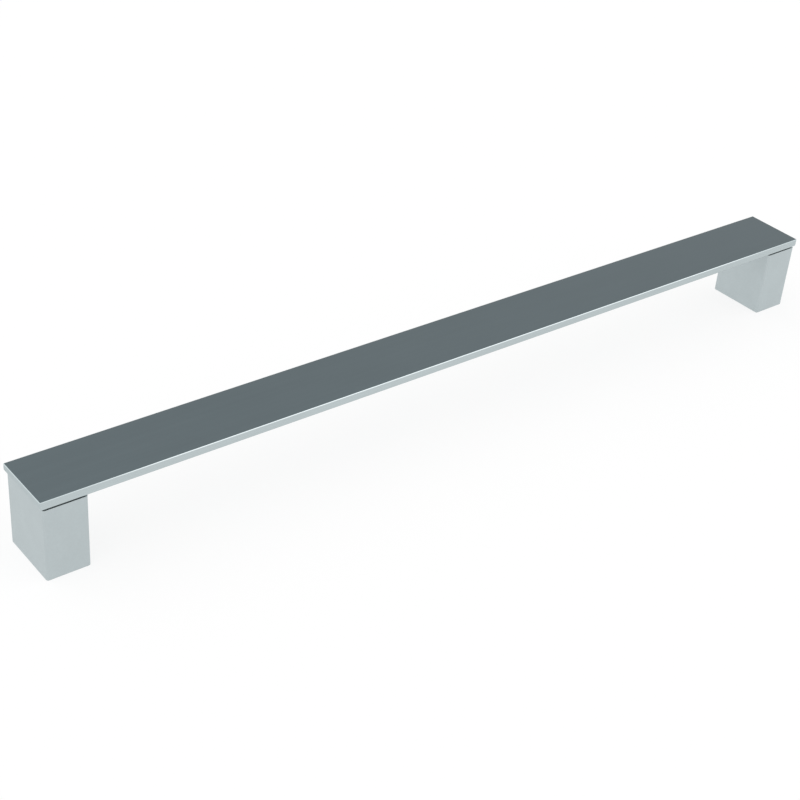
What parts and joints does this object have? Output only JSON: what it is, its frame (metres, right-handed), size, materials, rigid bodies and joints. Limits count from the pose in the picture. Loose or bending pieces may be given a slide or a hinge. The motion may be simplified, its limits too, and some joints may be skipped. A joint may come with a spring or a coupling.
{
  "type": "furniture pull handle",
  "caption": "Flat bar pull handle for a door or drawer, standing on a block foot at each end and screwed on from behind.",
  "frame": {"origin": "middle of the mounting plane, where both feet stand on the door", "axes": "+X along the bar, +Y across it, +Z away from the door"},
  "size_m": [0.3368, 0.024, 0.03],
  "materials": {
    "bar": "satin, dark slate top face, light edges",
    "foot": "fine satin on a casting",
    "screw": "zinc plated"
  },
  "bodies": {
    "root": {"bar": "bar", "left_foot": "foot", "right_foot": "foot", "left_front_screw": "screw", "left_back_screw": "screw", "right_front_screw": "screw", "right_back_screw": "screw"}
  },
  "joints": []
}
